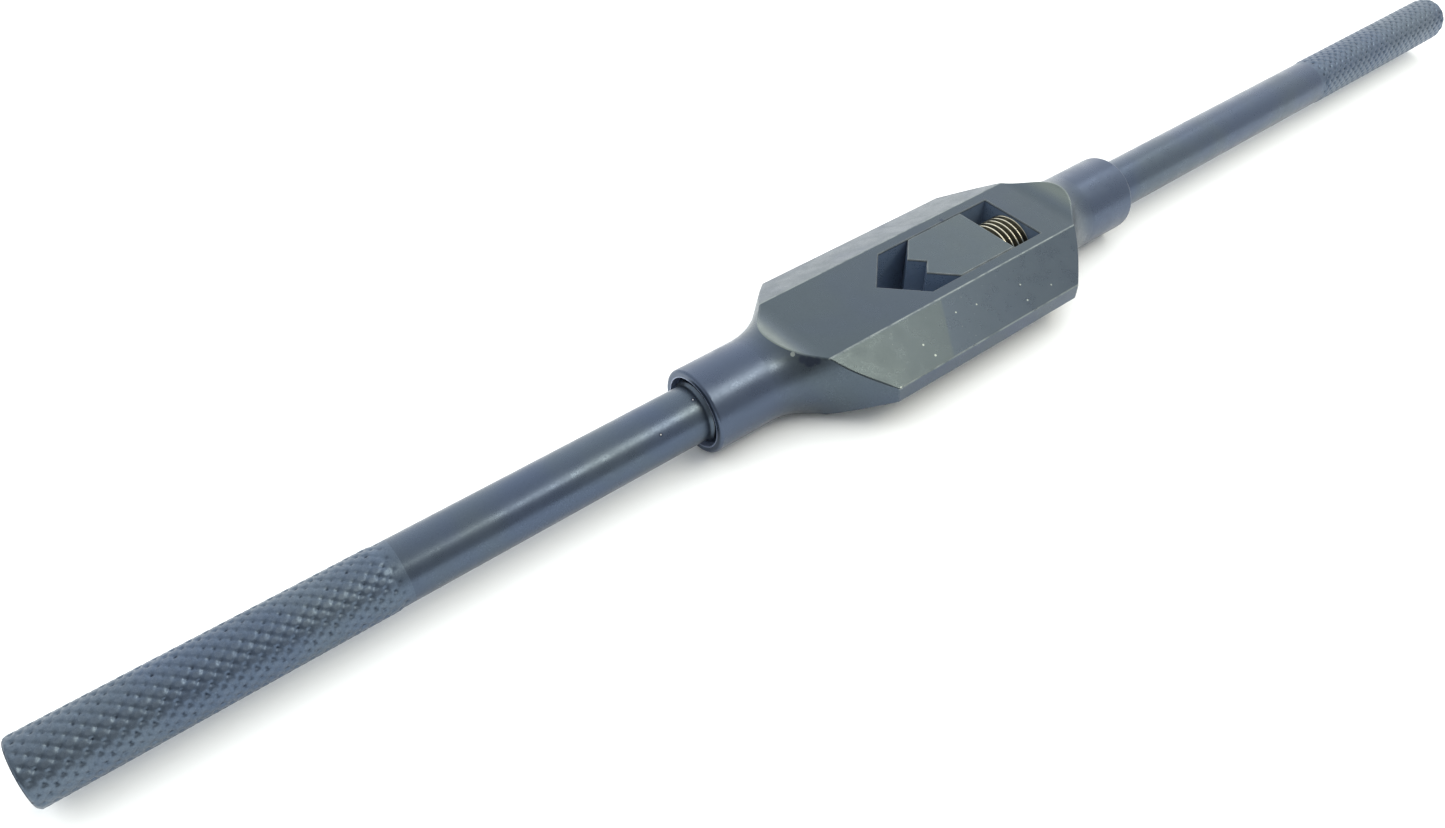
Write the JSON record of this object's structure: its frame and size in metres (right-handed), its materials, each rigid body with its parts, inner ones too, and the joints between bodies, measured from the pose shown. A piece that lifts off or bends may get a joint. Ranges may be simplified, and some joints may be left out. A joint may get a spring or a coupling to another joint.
{
  "type": "tap wrench",
  "caption": "Adjustable bar tap wrench with a fixed V, a screw-driven sliding jaw in a window, and knurled round handles.",
  "frame": {"origin": "centre of the bounding box, on the common axis of the two handles", "axes": "+X along the handles towards the adjusting handle, +Z out of the upper flat, along the axis of the tap being held"},
  "size_m": [0.3192, 0.0344, 0.0152],
  "materials": {
    "body_steel": "blackened, ground flats and bevels",
    "jaw_steel": "blackened, hardened",
    "handle_steel": "blackened, turned shank and diamond-knurled grip",
    "pin_steel": "bright ground"
  },
  "bodies": {
    "frame": {"body": "body_steel", "fixed_handle": "handle_steel"},
    "jaw": {"sliding_jaw": "jaw_steel", "upper_jaw_pin": "pin_steel", "lower_jaw_pin": "pin_steel"},
    "adjuster": {"adjusting_handle": "handle_steel"}
  },
  "joints": [
    {"name": "jaw_slide", "type": "slide", "parent": "frame", "child": "jaw", "axis": [1, 0, 0], "range_m": [-0.00696, 0.00666]},
    {"name": "handle_turn", "type": "hinge", "parent": "jaw", "child": "adjuster", "pos_m": [0.01, 0, 0], "axis": [1, 0, 0], "range_deg": [-2005, 1919]}
  ],
  "couplings": [
    {"joint": "handle_turn", "follows": "jaw_slide", "rad_per_m": 5026.5}
  ]
}
